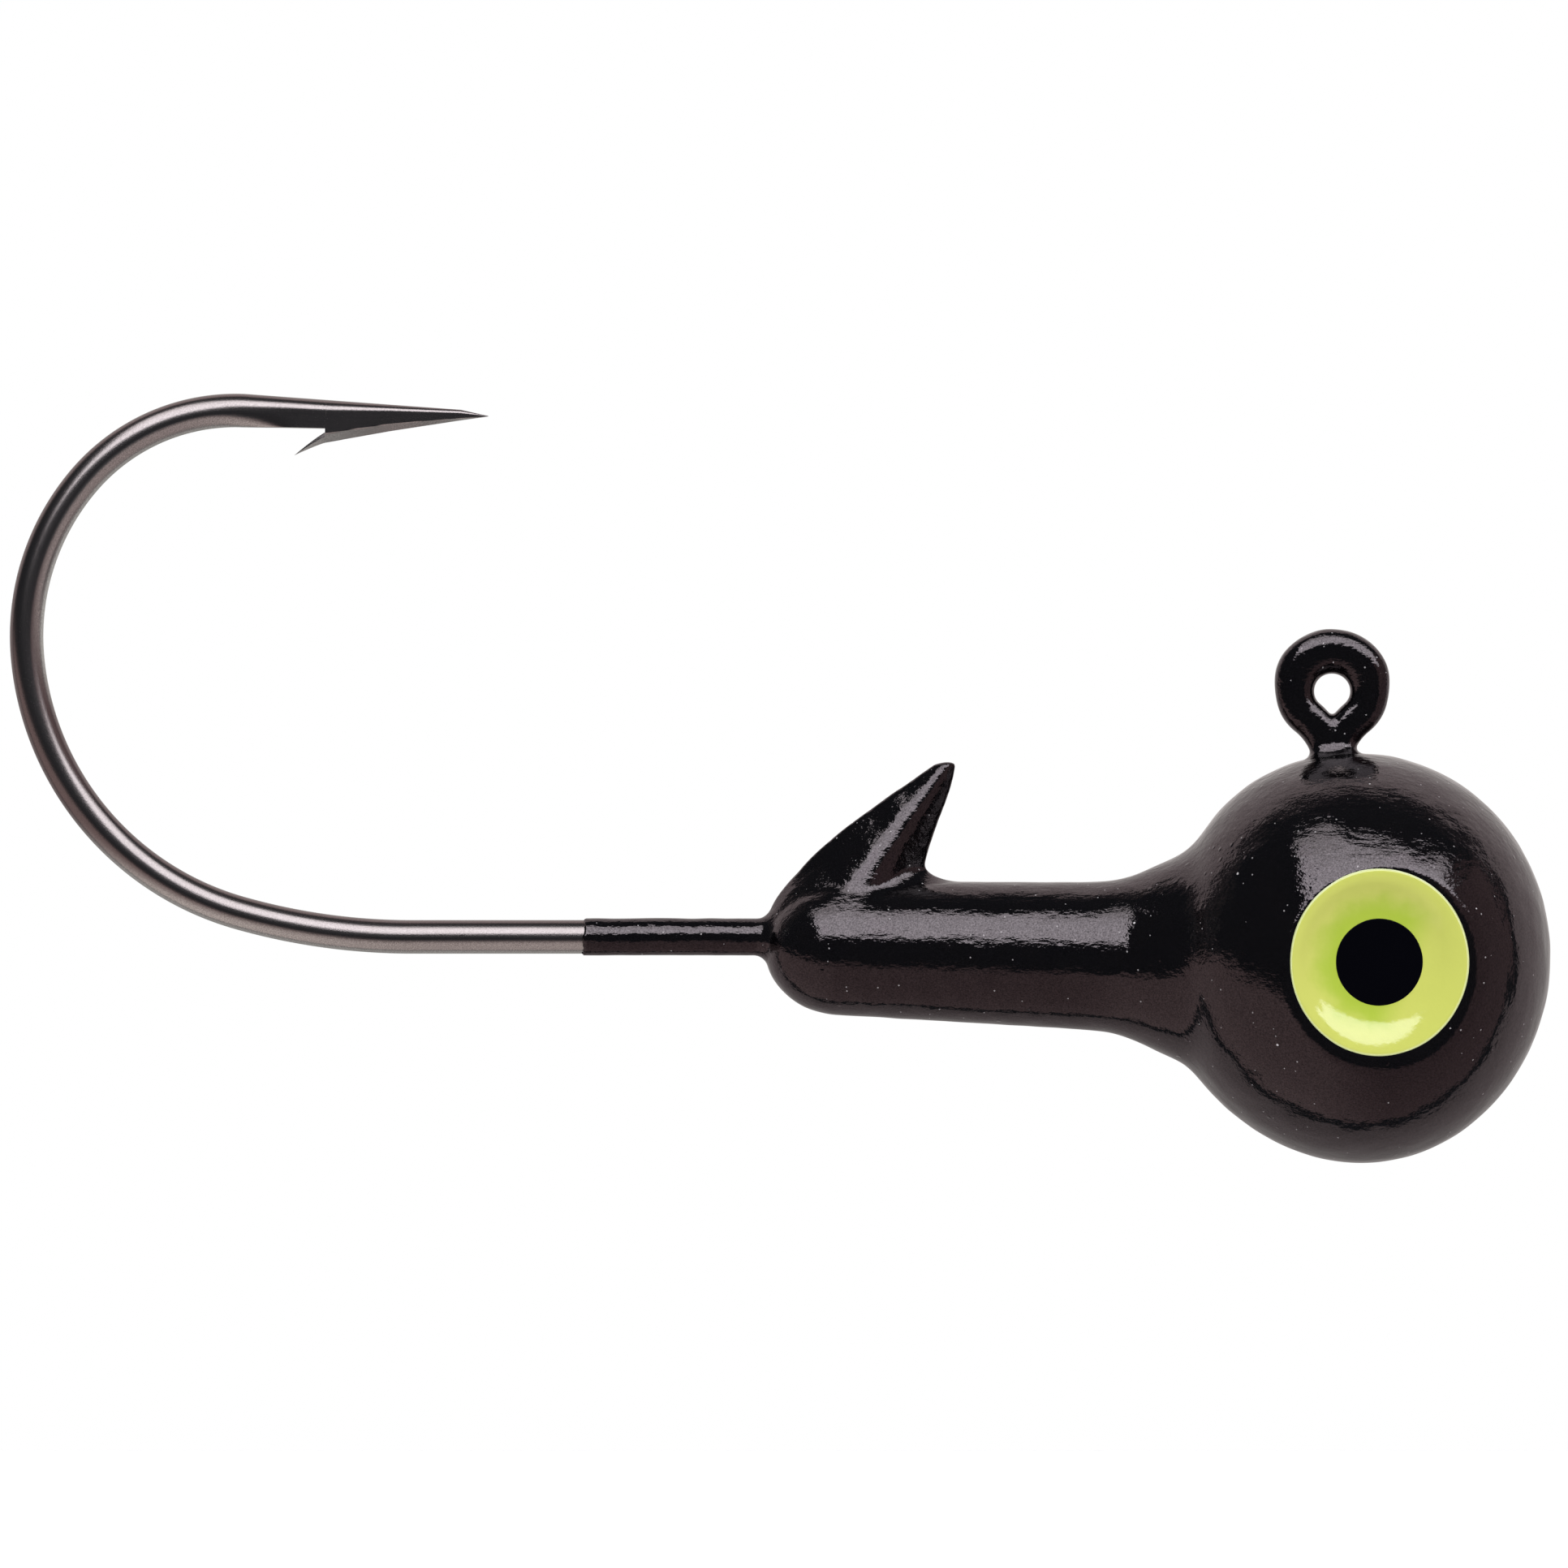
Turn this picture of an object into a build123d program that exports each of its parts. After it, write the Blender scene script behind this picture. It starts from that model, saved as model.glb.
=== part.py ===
from build123d import *
import math
import os

# A round jig head: a lead body cast around a forged hook, coated, with a printed eye on each side.
# Every length is in millimetres and every angle in degrees. The origin is the centre of the eye
# that the line is tied to. +X points to the front of the head and +Z up, from the shank to the
# hook point. The part is symmetric about Y = 0.

# Hook wire
WIRE_R = 0.4225                     # radius of the bare wire
LOOP_R = 0.957                      # radius of the line loop, to the middle of the wire
NECK_R = 2.0                        # radius at which the loop closes into the neck
HEAD_BEND_R = 1.5                   # right-angle bend inside the ball
SHANK_Z = -6.265                    # height of the shank's axis
BEND_START_X = -23.114              # where the straight shank ends
BEND_ARCS = ((15.83, 15.9), (7.36, 68.7), (6.03, 45.9), (5.0, 52.0))    # radius, turn
SPEAR_LEAD = 1.05                   # straight wire between the bend and the spear

# Spear point and barb, along the spear from its root and across it, upwards positive
SPEAR_LENGTH = 5.09
SPEAR_ROOT_HALF = 0.39              # half height at the root
SPEAR_NOSE = 0.70                   # length of the steeper ground nose
SPEAR_NOSE_TOP = 0.26               # edge heights where the nose starts
SPEAR_NOSE_BOTTOM = -0.01
SPEAR_TIP_V = 0.13                  # the tip's height
SPEAR_NOSE_HALF = 0.10              # half thickness where the nose starts
SPEAR_TIP_HALF = 0.02               # half thickness at the tip
BARB_ROOT = 1.01                    # where the barb's slice ends, from the spear's root
BARB_TIP = (0.27, -1.06)
BARB_HEEL = (1.01, -0.72)
BARB_ROOT_V = -0.36                 # height of the slice's end
BARB_HALF = 0.17                    # half thickness of the raised barb

# Cast head, measured to the outside of the coating
BALL_R = 5.1
BALL_X = 0.42
BALL_Z = -6.805
COLLAR_FRONT = (-3.0, -6.86, 1.96)  # X, Z and radius inside the ball
COLLAR_REAR = (-12.5, -6.53, 1.70)  # X, Z and radius at the start of the round end
NECK_FILLET = 2.3                   # between the collar and the ball
# Keeper spike: height, then X of its leading edge, side ridge and trailing edge, and the half
# width at the ridge
KEEPER_SECTIONS = (
    (-1.89, -9.87, -9.72, -9.57, 0.13),
    (-2.43, -10.67, -10.02, -9.57, 0.30),
    (-3.08, -11.63, -10.49, -9.80, 0.50),
    (-3.73, -12.44, -10.96, -10.05, 0.70),
    (-4.38, -13.17, -11.43, -10.20, 0.92),
    (-4.71, -13.50, -11.67, -10.05, 1.02),
    (-4.89, -13.68, -11.80, -9.45, 1.08),
    (-5.65, -14.00, -12.35, -10.70, 1.22),
)

# Coating
FILM = 0.10                         # on the casting
LOOP_FILM = 0.08                    # on the line loop
STUB_FILM = 0.046                   # on the shank
STUB_END_X = -18.80                 # where the coating stops on the shank
LINE_HOLE_R = 0.445                 # clear hole for the line
LINE_HOLE_LAND = 0.30               # length of the hole's straight wall
LINE_HOLE_APEX = 0.61               # depth of the hole's pointed bottom, from its centre

# Eyes: a dished socket with three films of print
SOCKET_TURN = 9.1                   # the sockets face this far forward of sideways
SOCKET_OPENING_R = 2.50
DISH_R = 3.8                        # radius of the hollow, on the coating
PRINT_X = 1.15                      # the print is pressed on along Y, around this point
PRINT_Z = -6.865
PRINT_FILM = 0.04
IRIS_SIZE = (2.23, 2.33)            # half width and half height
BASE_RIM = 0.04                     # the white base shows this far around the iris
PUPIL_SIZE = (1.08, 1.08)

TRIM_REACH = 20                     # longer than anything it trims


def walk(start, heading, steps):
    """Tangent lines and arcs in the plane Y = 0, as one wire. A step is a length, or a radius
    and a turn, positive from +X towards +Z. Returns the wire, its last point and heading."""
    edges = []
    x, z = start
    for step in steps:
        if isinstance(step, tuple):
            radius, turn = step
            side = math.copysign(radius, turn)
            across = math.radians(heading + 90)
            centre_x = x + side * math.cos(across)
            centre_z = z + side * math.sin(across)
            points = [(x, 0, z)]
            for part in (turn / 2, turn):
                angle = across + math.radians(part)
                x = centre_x - side * math.cos(angle)
                z = centre_z - side * math.sin(angle)
                points.append((x, 0, z))
            edges.append(ThreePointArc(*points))
            heading += turn
        else:
            begin = (x, 0, z)
            x += step * math.cos(math.radians(heading))
            z += step * math.sin(math.radians(heading))
            edges.append(Line(begin, (x, 0, z)))
    return Wire(edges), (x, z), heading


def rod(path, radius):
    """A round rod of the given radius along a wire."""
    start = Plane(origin=path @ 0, z_dir=path % 0)
    return sweep(start * Circle(radius), path=path)


def side_prism(points, half):
    """A closed outline of (x, z) points in the plane Y = 0, grown by half to both sides."""
    face = make_face(Polyline(*[(x, 0, z) for x, z in points], close=True))
    return extrude(face, amount=half, dir=(0, 1, 0), both=True)


# The loop's two halves run down from its top and close into the neck on the line X = 0.
NECK_DROP = math.sqrt(LOOP_R**2 + 2 * LOOP_R * NECK_R)
LOOP_TURN = 90 + math.degrees(math.atan2(NECK_DROP, NECK_R))
NECK_TURN = LOOP_TURN - 90
LOOP_TOP = (0, LOOP_R)
NECK_Z = -NECK_DROP
LOOP_END_TURN = 20                  # the wire's cut end stops here, against the neck


def loop(radius, end_turn):
    """The line loop as a round rod. Its front half runs end_turn degrees into the neck."""
    rear, _, _ = walk(LOOP_TOP, 180, [(LOOP_R, LOOP_TURN), (NECK_R, -NECK_TURN)])
    front, _, _ = walk(LOOP_TOP, 0, [(LOOP_R, -LOOP_TURN), (NECK_R, end_turn)])
    return rod(rear, radius) + rod(front, radius)


def in_spear_frame(root, heading, points):
    """Points along and across the spear, turned into X and Z."""
    along = (math.cos(math.radians(heading)), math.sin(math.radians(heading)))
    return [
        (root[0] + u * along[0] - v * along[1], root[1] + u * along[1] + v * along[0])
        for u, v in points
    ]


def spear(root, heading):
    """The ground point and its barb, from the root of the spear to the tip."""
    nose = SPEAR_LENGTH - SPEAR_NOSE
    profile = [
        (0, SPEAR_ROOT_HALF),
        (nose, SPEAR_NOSE_TOP),
        (SPEAR_LENGTH, SPEAR_TIP_V),
        (nose, SPEAR_NOSE_BOTTOM),
        BARB_HEEL,
        (BARB_ROOT, -SPEAR_ROOT_HALF),
        (0, -SPEAR_ROOT_HALF),
    ]
    blade = side_prism(in_spear_frame(root, heading, profile), WIRE_R)
    barb_outline = [
        BARB_TIP,
        BARB_HEEL,
        (nose - 1, -SPEAR_NOSE_HALF),
        (BARB_ROOT + WIRE_R, 0),
        (BARB_ROOT, BARB_ROOT_V),
    ]
    barb = side_prism(in_spear_frame(root, heading, barb_outline), BARB_HALF)
    # The sides are ground to a slim wedge in plan, and a round bar keeps the wire's roundness.
    near_side = [
        (root[0] - 1, WIRE_R),
        (root[0] + 1, WIRE_R),
        (root[0] + nose, SPEAR_NOSE_HALF),
        (root[0] + SPEAR_LENGTH, SPEAR_TIP_HALF),
    ]
    far_side = [(x, -y) for x, y in reversed(near_side)]
    plan = make_face(Polyline(*near_side, *far_side, close=True))
    wedge = extrude(plan, amount=TRIM_REACH, dir=(0, 0, 1), both=True)
    bar, _, _ = walk(root, heading, [SPEAR_LENGTH])
    point = blade & wedge & rod(bar, WIRE_R + STUB_FILM)
    return point + (barb & wedge)


def make_hook():
    """One wire from the line loop, through the head, to the spear point."""
    steps = [
        NECK_Z - SHANK_Z - HEAD_BEND_R,
        (HEAD_BEND_R, -90),
        -HEAD_BEND_R - BEND_START_X,
    ]
    steps += [(radius, -turn) for radius, turn in BEND_ARCS]
    steps += [SPEAR_LEAD]
    path, root, heading = walk((0, NECK_Z), -90, steps)
    return loop(WIRE_R, LOOP_END_TURN) + rod(path, WIRE_R) + spear(root, heading)


def keeper(shrink):
    """The bait-keeper spike: ruled between diamond sections, pulled in by shrink all round."""
    sections = []
    for height, lead, ridge, trail, half in KEEPER_SECTIONS:
        points = [
            (lead + shrink, 0),
            (ridge, half - shrink),
            (trail - shrink, 0),
            (ridge, shrink - half),
        ]
        sections.append(Plane.XY.offset(height - shrink) * Polygon(*points, align=None))
    return loft(sections, ruled=True)


def head_form(shrink):
    """Ball, collar and keeper as one form, its surface shrink inside the coating's."""
    front_x, front_z, front_r = COLLAR_FRONT
    rear_x, rear_z, rear_r = COLLAR_REAR
    length = math.hypot(front_x - rear_x, front_z - rear_z)
    rear = Plane(origin=(rear_x, 0, rear_z), z_dir=(front_x - rear_x, 0, front_z - rear_z))
    cone = Cone(
        rear_r - shrink, front_r - shrink, length, align=(Align.CENTER, Align.CENTER, Align.MIN)
    )
    ball = Pos(BALL_X, 0, BALL_Z) * Sphere(BALL_R - shrink)
    form = ball + rear * cone
    # The collar meets the ball in the edge nearest to the ball's rear, above the collar.
    behind_ball = (BALL_X - BALL_R + shrink, 0, front_z + front_r)
    seam = form.edges().filter_by(GeomType.LINE, reverse=True).sort_by_distance(behind_ball)[0]
    form = fillet(seam, NECK_FILLET + shrink)
    form += Pos(rear_x, 0, rear_z) * Sphere(rear_r - shrink)
    return form + keeper(shrink)


# Distance from the ball's centre to the centre of the sphere that hollows a socket
DISH_REACH = (
    math.sqrt(BALL_R**2 - SOCKET_OPENING_R**2) + math.sqrt(DISH_R**2 - SOCKET_OPENING_R**2)
)
DISH_OUT = DISH_REACH * math.cos(math.radians(SOCKET_TURN))


def socket(side, radius):
    """A sphere of the given radius that hollows or lines the eye socket on one side."""
    forward = DISH_REACH * math.sin(math.radians(SOCKET_TURN))
    return Pos(BALL_X + forward, side * DISH_OUT, BALL_Z) * Sphere(radius)


def make_print(side, size, layer):
    """An oval film of print in the socket, the layer-th one up from the coating."""
    outer = socket(side, DISH_R - PRINT_FILM * layer)
    inner = socket(side, DISH_R - PRINT_FILM * (layer + 1))
    outline = Plane(origin=(PRINT_X, 0, PRINT_Z), x_dir=(1, 0, 0), z_dir=(0, side, 0))
    stamp = extrude(outline * Ellipse(*size), amount=DISH_OUT)
    return (outer - inner) & stamp


def make_lead(hook):
    """The casting, poured around the hook."""
    body = head_form(FILM)
    for side in (-1, 1):
        body -= socket(side, DISH_R + FILM)
    return body - hook


def line_hole():
    """The hole for the line: round, with straight tangents down to a pointed bottom."""
    tangent = math.acos(LINE_HOLE_R / LINE_HOLE_APEX)
    x = LINE_HOLE_R * math.sin(tangent)
    z = -LINE_HOLE_R * math.cos(tangent)
    apex = (0, 0, -LINE_HOLE_APEX)
    outline = ThreePointArc((-x, 0, z), (0, 0, LINE_HOLE_R), (x, 0, z))
    outline += Line((x, 0, z), apex) + Line(apex, (-x, 0, z))
    return extrude(make_face(outline), amount=1, dir=(0, 1, 0), both=True)


def make_paint(lead, hook):
    """One film over the casting, the line loop and the root of the shank."""
    skin = head_form(0)
    for side in (-1, 1):
        skin -= socket(side, DISH_R)
    stub, _, _ = walk((COLLAR_REAR[0], SHANK_Z), 180, [COLLAR_REAR[0] - STUB_END_X])
    skin += rod(stub, WIRE_R + STUB_FILM)
    neck, _, _ = walk((0, NECK_Z), -90, [HEAD_BEND_R])
    skin += loop(WIRE_R + LOOP_FILM, NECK_TURN) + rod(neck, WIRE_R + LOOP_FILM)
    # Coating gathers inside the loop as a short straight wall around the line hole.
    skin += Cylinder(LOOP_R - WIRE_R + FILM, LINE_HOLE_LAND, rotation=(90, 0, 0))
    return skin - line_hole() - lead - hook


def main():
    os.makedirs("parts", exist_ok=True)
    hook = make_hook()
    lead = make_lead(hook)
    nodes = {"hook": hook, "lead_body": lead, "paint_coat": make_paint(lead, hook)}
    base_size = [half + BASE_RIM for half in IRIS_SIZE]
    for side, name in ((1, "left"), (-1, "right")):
        nodes[f"eye_base_{name}"] = make_print(side, base_size, 0)
        nodes[f"iris_{name}"] = make_print(side, IRIS_SIZE, 1)
        nodes[f"pupil_{name}"] = make_print(side, PUPIL_SIZE, 2)
    for name, solid in nodes.items():
        export_step(solid, f"parts/{name}.step")


main()
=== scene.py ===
import itertools
import math

import bpy
import numpy as np
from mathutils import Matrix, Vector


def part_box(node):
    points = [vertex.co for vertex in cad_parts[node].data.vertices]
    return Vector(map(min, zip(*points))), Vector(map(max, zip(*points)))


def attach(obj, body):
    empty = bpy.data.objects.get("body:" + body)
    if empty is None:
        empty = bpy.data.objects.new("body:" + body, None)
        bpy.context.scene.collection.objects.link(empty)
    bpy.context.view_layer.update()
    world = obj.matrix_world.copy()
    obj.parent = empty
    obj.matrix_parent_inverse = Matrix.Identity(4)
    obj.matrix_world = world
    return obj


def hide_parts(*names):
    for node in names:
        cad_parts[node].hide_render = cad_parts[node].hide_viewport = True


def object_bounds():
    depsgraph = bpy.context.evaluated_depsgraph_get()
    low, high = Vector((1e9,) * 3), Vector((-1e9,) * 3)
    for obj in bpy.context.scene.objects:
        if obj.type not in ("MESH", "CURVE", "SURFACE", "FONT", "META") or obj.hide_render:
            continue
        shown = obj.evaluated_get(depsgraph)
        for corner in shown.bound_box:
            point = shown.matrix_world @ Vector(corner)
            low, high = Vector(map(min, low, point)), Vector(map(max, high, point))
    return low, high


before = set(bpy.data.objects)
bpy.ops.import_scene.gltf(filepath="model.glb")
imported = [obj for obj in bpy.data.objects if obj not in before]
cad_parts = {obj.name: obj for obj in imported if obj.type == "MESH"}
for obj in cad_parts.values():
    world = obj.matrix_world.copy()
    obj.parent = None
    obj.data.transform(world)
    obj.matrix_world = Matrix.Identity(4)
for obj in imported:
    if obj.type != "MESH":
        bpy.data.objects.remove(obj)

# The visual model of a round jig head. Shapes are worked out in millimetres, in the frame's own
# axes: +X to the front of the head, +Y away from the viewer, +Z up to the hook point.
MM = 0.001
CAD_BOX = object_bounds()


# ---- measures taken from the frame

def box_mm(node):
    """Lowest and highest corner of a CAD node, in millimetres."""
    low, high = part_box(node)
    return np.array(low) / MM, np.array(high) / MM


HOOK_LOW, HOOK_HIGH = box_mm("hook")
LEAD_LOW, LEAD_HIGH = box_mm("lead_body")
COAT_LOW, COAT_HIGH = box_mm("paint_coat")
IRIS_LOW, IRIS_HIGH = box_mm("iris_right")
BASE_LOW, BASE_HIGH = box_mm("eye_base_right")
PUPIL_LOW, PUPIL_HIGH = box_mm("pupil_right")

FILM = COAT_HIGH[0] - LEAD_HIGH[0]
BALL_R = (LEAD_HIGH[2] - LEAD_LOW[2]) / 2 + FILM
BALL_X = COAT_HIGH[0] - BALL_R
BALL_Z = (LEAD_HIGH[2] + LEAD_LOW[2]) / 2
WIRE_R = HOOK_HIGH[1]
SHANK_Z = HOOK_LOW[2] + WIRE_R
STUB_END_X = COAT_LOW[0]

# ---- shape of the coated head

BALL_SHIFT = (0.223, 0.133)  # along X and Z, from the CAD ball's centre
BALL_MEAN_R = 5.043
# The hand-cast ball isn't quite round from the side: height, direction and spread in radians
BALL_SWELLS = ((-0.19, 0.15, 0.90), (0.25, -1.41, 0.67), (-0.14, 2.58, 0.30))
CHEEK = (-2.86, -6.80)  # a smaller ball that swells the neck
CHEEK_R = 2.679
CHEEK_BLEND = 0.63
COLLAR_REAR = (-12.345, -6.55)
COLLAR_REAR_R = 1.679
COLLAR_REAR_SQUASH = 1.13  # length of the round end over its radius
COLLAR_FRONT = (-3.0, -6.841)
COLLAR_FRONT_R = 1.942
COLLAR_BLEND = 1.38
STUB_R = 0.468
STUB_FILLET = 0.26
STUB_EDGE_LEAN = 0.035  # the coating's edge leans and waves by so much along X
STUB_EDGE_WAVE = 0.012
STUB_EDGE_ROUND = 0.012

LOOP_R = 0.943  # middle line of the line loop
LOOP_TUBE_R = 0.480
LOOP_FLATNESS = 2.8  # 2 would be a round tube; more has a flatter face
LOOP_SHIFT = (0.018, -0.050)  # forwards and up
LOOP_NECK_R = 1.84  # the loop's two sides close into the neck on this radius
LOOP_NECK_END = -4.0  # the neck ends inside the ball
LOOP_CREASE = 0.14  # rounding of the valley between the two sides,
LOOP_CREASE_SPAN = (-0.25, -0.7)  # which comes in between these heights
LOOP_THICKER = 0.10  # extra coating towards the top of the loop,
LOOP_THICKER_START = -0.3  # from this height up
LOOP_THINNER = 0.03  # less coating at its neck,
LOOP_THINNER_SPAN = (-0.6, -1.5)  # between these heights
LOOP_FILLET = 0.24  # loop neck into ball, at its front and rear
LOOP_SIDE_FILLET = 0.38  # and at its sides
LOOP_SIDE_SPAN = (0.1, 0.6)  # the one turns into the other so far from Y = 0

KEEPER_TIP_Z = -1.865
KEEPER_TIP_ROUND = 0.10
KEEPER_EDGE_ROUND = 0.075
KEEPER_RIDGE_SOFT = 1.2  # softness of its side ridge, over the half thickness
KEEPER_STEEP = 0.62  # a distance square to its faces, over one along Y
KEEPER_FILLET = 0.48  # into the collar, at its front and rear
KEEPER_SIDE_FILLET = 0.16  # and at its sides
KEEPER_SIDE_SPAN = (0.3, 0.9)  # the one turns into the other so far from Y = 0
# Its shape changes between these heights, and it is cut off inside the collar
KEEPER_FOOT = -5.9
KEEPER_TOP = KEEPER_TIP_Z + 0.2
KEEPER_CUT = KEEPER_FOOT - 0.3
# X of the leading edge, the side ridge and the trailing edge, and the half thickness at the
# ridge, each as a cubic in the height above KEEPER_FOOT
KEEPER_LEAD = (-13.85, -0.136, 0.448, -0.042)
KEEPER_RIDGE = (-12.54, 0.737, -0.004, 0.0)
KEEPER_TRAIL = (-9.982, -0.601, 0.372, -0.047)
KEEPER_HALF = (1.55, -0.397, 0.0111, 0.0)

# Each eye lies in a shallow dish: a flat floor that curves up to a rounded edge
DISH_LEAN = (0.112, -0.056)  # how far the dish's axis leans forwards and up
DISH_FLOOR = 4.063  # distance of the floor from the middle of the ball
DISH_FLAT_R = 0.95
DISH_CURVE_R = 2.2
DISH_LIP = 0.36  # mean rounding of the edge
DISH_LIP_CHANGE = 0.24  # more at the lower front, less at the upper rear


def join_round(a, b, radius):
    """Two distance fields joined, with a concave fillet of the given radius."""
    corner = np.hypot(np.maximum(radius - a, 0), np.maximum(radius - b, 0))
    return np.maximum(radius, np.minimum(a, b)) - corner


def cut_round(a, b, radius):
    """Distance field a with b cut out of it, with a rounded lip."""
    corner = np.hypot(np.maximum(radius + a, 0), np.maximum(radius - b, 0))
    return np.minimum(-radius, np.maximum(a, -b)) + corner


def blend(a, b, reach):
    """Two distance fields joined with a soft blend that starts where they differ by reach."""
    share = np.maximum(reach - np.abs(a - b), 0) / reach
    return np.minimum(a, b) - share**3 * reach / 6


def smooth_step(low, high, value):
    """0 below low, 1 above high, and a smooth rise between."""
    share = np.clip((value - low) / (high - low), 0, 1)
    return share * share * (3 - 2 * share)


def ball_field(x, y, z):
    """The slightly uneven ball, and the swelling at its neck."""
    dx = x - BALL_X - BALL_SHIFT[0]
    dz = z - BALL_Z - BALL_SHIFT[1]
    flat = dx**2 + dz**2
    reach = np.sqrt(flat + y**2)
    angle = np.arctan2(dz, dx)
    swell = 0
    for height, direction, spread in BALL_SWELLS:
        turn = (angle - direction + math.pi) % (2 * math.pi) - math.pi
        swell = swell + height * np.exp(-((turn / spread) ** 2))
    ball = reach - BALL_MEAN_R - swell * flat / np.maximum(reach, 1e-3) ** 2
    cheek = np.sqrt((x - CHEEK[0]) ** 2 + y**2 + (z - CHEEK[1]) ** 2) - CHEEK_R
    return blend(ball, cheek, CHEEK_BLEND)


def collar_field(x, y, z):
    """The collar: a slim cone with a round rear end."""
    length = math.dist(COLLAR_FRONT, COLLAR_REAR)
    along_x = (COLLAR_FRONT[0] - COLLAR_REAR[0]) / length
    along_z = (COLLAR_FRONT[1] - COLLAR_REAR[1]) / length
    dx, dz = x - COLLAR_REAR[0], z - COLLAR_REAR[1]
    along = dx * along_x + dz * along_z
    across = dz * along_x - dx * along_z
    share = np.clip(along / length, 0, 1)
    beyond = (along - share * length) / COLLAR_REAR_SQUASH
    radius = COLLAR_REAR_R + (COLLAR_FRONT_R - COLLAR_REAR_R) * share
    return np.sqrt(beyond**2 + across**2 + y**2) - radius


def keeper_field(x, y, z):
    """The keeper spike: a leaning blade, thickest along a ridge on each side."""
    height = np.clip(z, KEEPER_FOOT, KEEPER_TOP) - KEEPER_FOOT
    lead, ridge, trail, half = (
        a + height * (b + height * (c + height * d))
        for a, b, c, d in (KEEPER_LEAD, KEEPER_RIDGE, KEEPER_TRAIL, KEEPER_HALF)
    )
    front = half * (x - lead) / (ridge - lead)
    back = half * (trail - x) / (trail - ridge)
    width = blend(front, back, KEEPER_RIDGE_SOFT * half)
    side = np.sqrt(y**2 + KEEPER_EDGE_ROUND**2) - KEEPER_EDGE_ROUND - width
    spike = cut_round(side * KEEPER_STEEP, KEEPER_TIP_Z - z, KEEPER_TIP_ROUND)
    return np.maximum(spike, KEEPER_CUT - z)


def loop_side_field(x, y, z):
    """One side of the line loop: half a ring that turns into the straight neck."""
    drop = math.sqrt(LOOP_R**2 + 2 * LOOP_R * LOOP_NECK_R)
    turn = math.atan2(LOOP_NECK_R, drop)
    angle = np.arctan2(x, -z)
    ring_end = np.hypot(x - math.sin(turn) * LOOP_R, z + math.cos(turn) * LOOP_R)
    ring = np.where(angle > turn, np.abs(np.hypot(x, z) - LOOP_R), ring_end)
    ring = np.where((angle < 0) & (z > 0), np.hypot(x, z - LOOP_R), ring)
    bend_angle = np.arctan2(z + drop, LOOP_NECK_R - x)
    bend = np.abs(np.hypot(x - LOOP_NECK_R, z + drop) - LOOP_NECK_R)
    on_bend = (bend_angle > 0) & (bend_angle < math.pi / 2 - turn)
    bend = np.where(on_bend, bend, ring_end)
    neck = np.hypot(x, np.maximum(np.maximum(z + drop, LOOP_NECK_END - z), 0))
    flat = np.minimum(np.minimum(ring, bend), neck)
    extra = LOOP_THICKER * smooth_step(LOOP_THICKER_START, LOOP_R, z)
    extra = extra - LOOP_THINNER * smooth_step(*LOOP_THINNER_SPAN, z)
    tube = (flat**LOOP_FLATNESS + np.abs(y) ** LOOP_FLATNESS) ** (1 / LOOP_FLATNESS)
    return tube - LOOP_TUBE_R - extra


def loop_field(x, y, z):
    """The whole coated line loop. Its sides blend only where they close in to the neck."""
    crease = LOOP_CREASE * smooth_step(*LOOP_CREASE_SPAN, z)
    x, z = x - LOOP_SHIFT[0], z - LOOP_SHIFT[1]
    return join_round(loop_side_field(x, y, z), loop_side_field(-x, y, z), crease)


def stub_field(x, y, z):
    """The coated root of the shank, with a slightly crooked edge of coating."""
    dz = z - SHANK_Z
    wave = STUB_EDGE_WAVE * np.sin(5 * np.arctan2(dz, y) + 1.0)
    edge = STUB_END_X + STUB_EDGE_LEAN * dz / STUB_R + wave
    rod = np.hypot(y, dz) - STUB_R
    return np.maximum(cut_round(rod, x - edge, STUB_EDGE_ROUND), x - BALL_X)


def socket_field(x, y, z):
    """The two round hollows for the eyes, as one mirrored field."""
    lean_x, lean_z = DISH_LEAN
    lean_y = math.sqrt(1 - lean_x**2 - lean_z**2)
    dx = x - BALL_X - BALL_SHIFT[0]
    dz = z - BALL_Z - BALL_SHIFT[1]
    along = dx * lean_x + np.abs(y) * lean_y + dz * lean_z
    across = np.sqrt(np.maximum(dx**2 + y**2 + dz**2 - along**2, 0))
    beyond_flat = np.maximum(across - DISH_FLAT_R, 0)
    return np.hypot(beyond_flat, along - DISH_FLOOR - DISH_CURVE_R) - DISH_CURVE_R


def fillet_around(y, end, side, span):
    """A fillet's radius around a root: one value at its front and rear, another at its sides."""
    return end + (side - end) * smooth_step(*span, np.abs(y))


def casting_field(x, y, z):
    """Ball, collar and keeper with the eye sockets cut in."""
    body = blend(ball_field(x, y, z), collar_field(x, y, z), COLLAR_BLEND)
    fillet = fillet_around(y, KEEPER_FILLET, KEEPER_SIDE_FILLET, KEEPER_SIDE_SPAN)
    body = join_round(body, keeper_field(x, y, z), fillet)
    to_lower_front = (x - BALL_X - z + BALL_Z) / (BALL_R * math.sqrt(2))
    lip = DISH_LIP + DISH_LIP_CHANGE * np.clip(2 * to_lower_front, -1, 1)
    return cut_round(body, socket_field(x, y, z), lip)


def coat_field(x, y, z):
    """The outside of the coating."""
    body = join_round(casting_field(x, y, z), stub_field(x, y, z), STUB_FILLET)
    fillet = fillet_around(y, LOOP_FILLET, LOOP_SIDE_FILLET, LOOP_SIDE_SPAN)
    return join_round(body, loop_field(x, y, z), fillet)


def lead_field(x, y, z):
    """The casting under the coating."""
    return casting_field(x, y, z) + FILM


# ---- meshes from distance fields

GRID_MARGIN = 0.4  # of the grid, around the CAD's box


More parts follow.
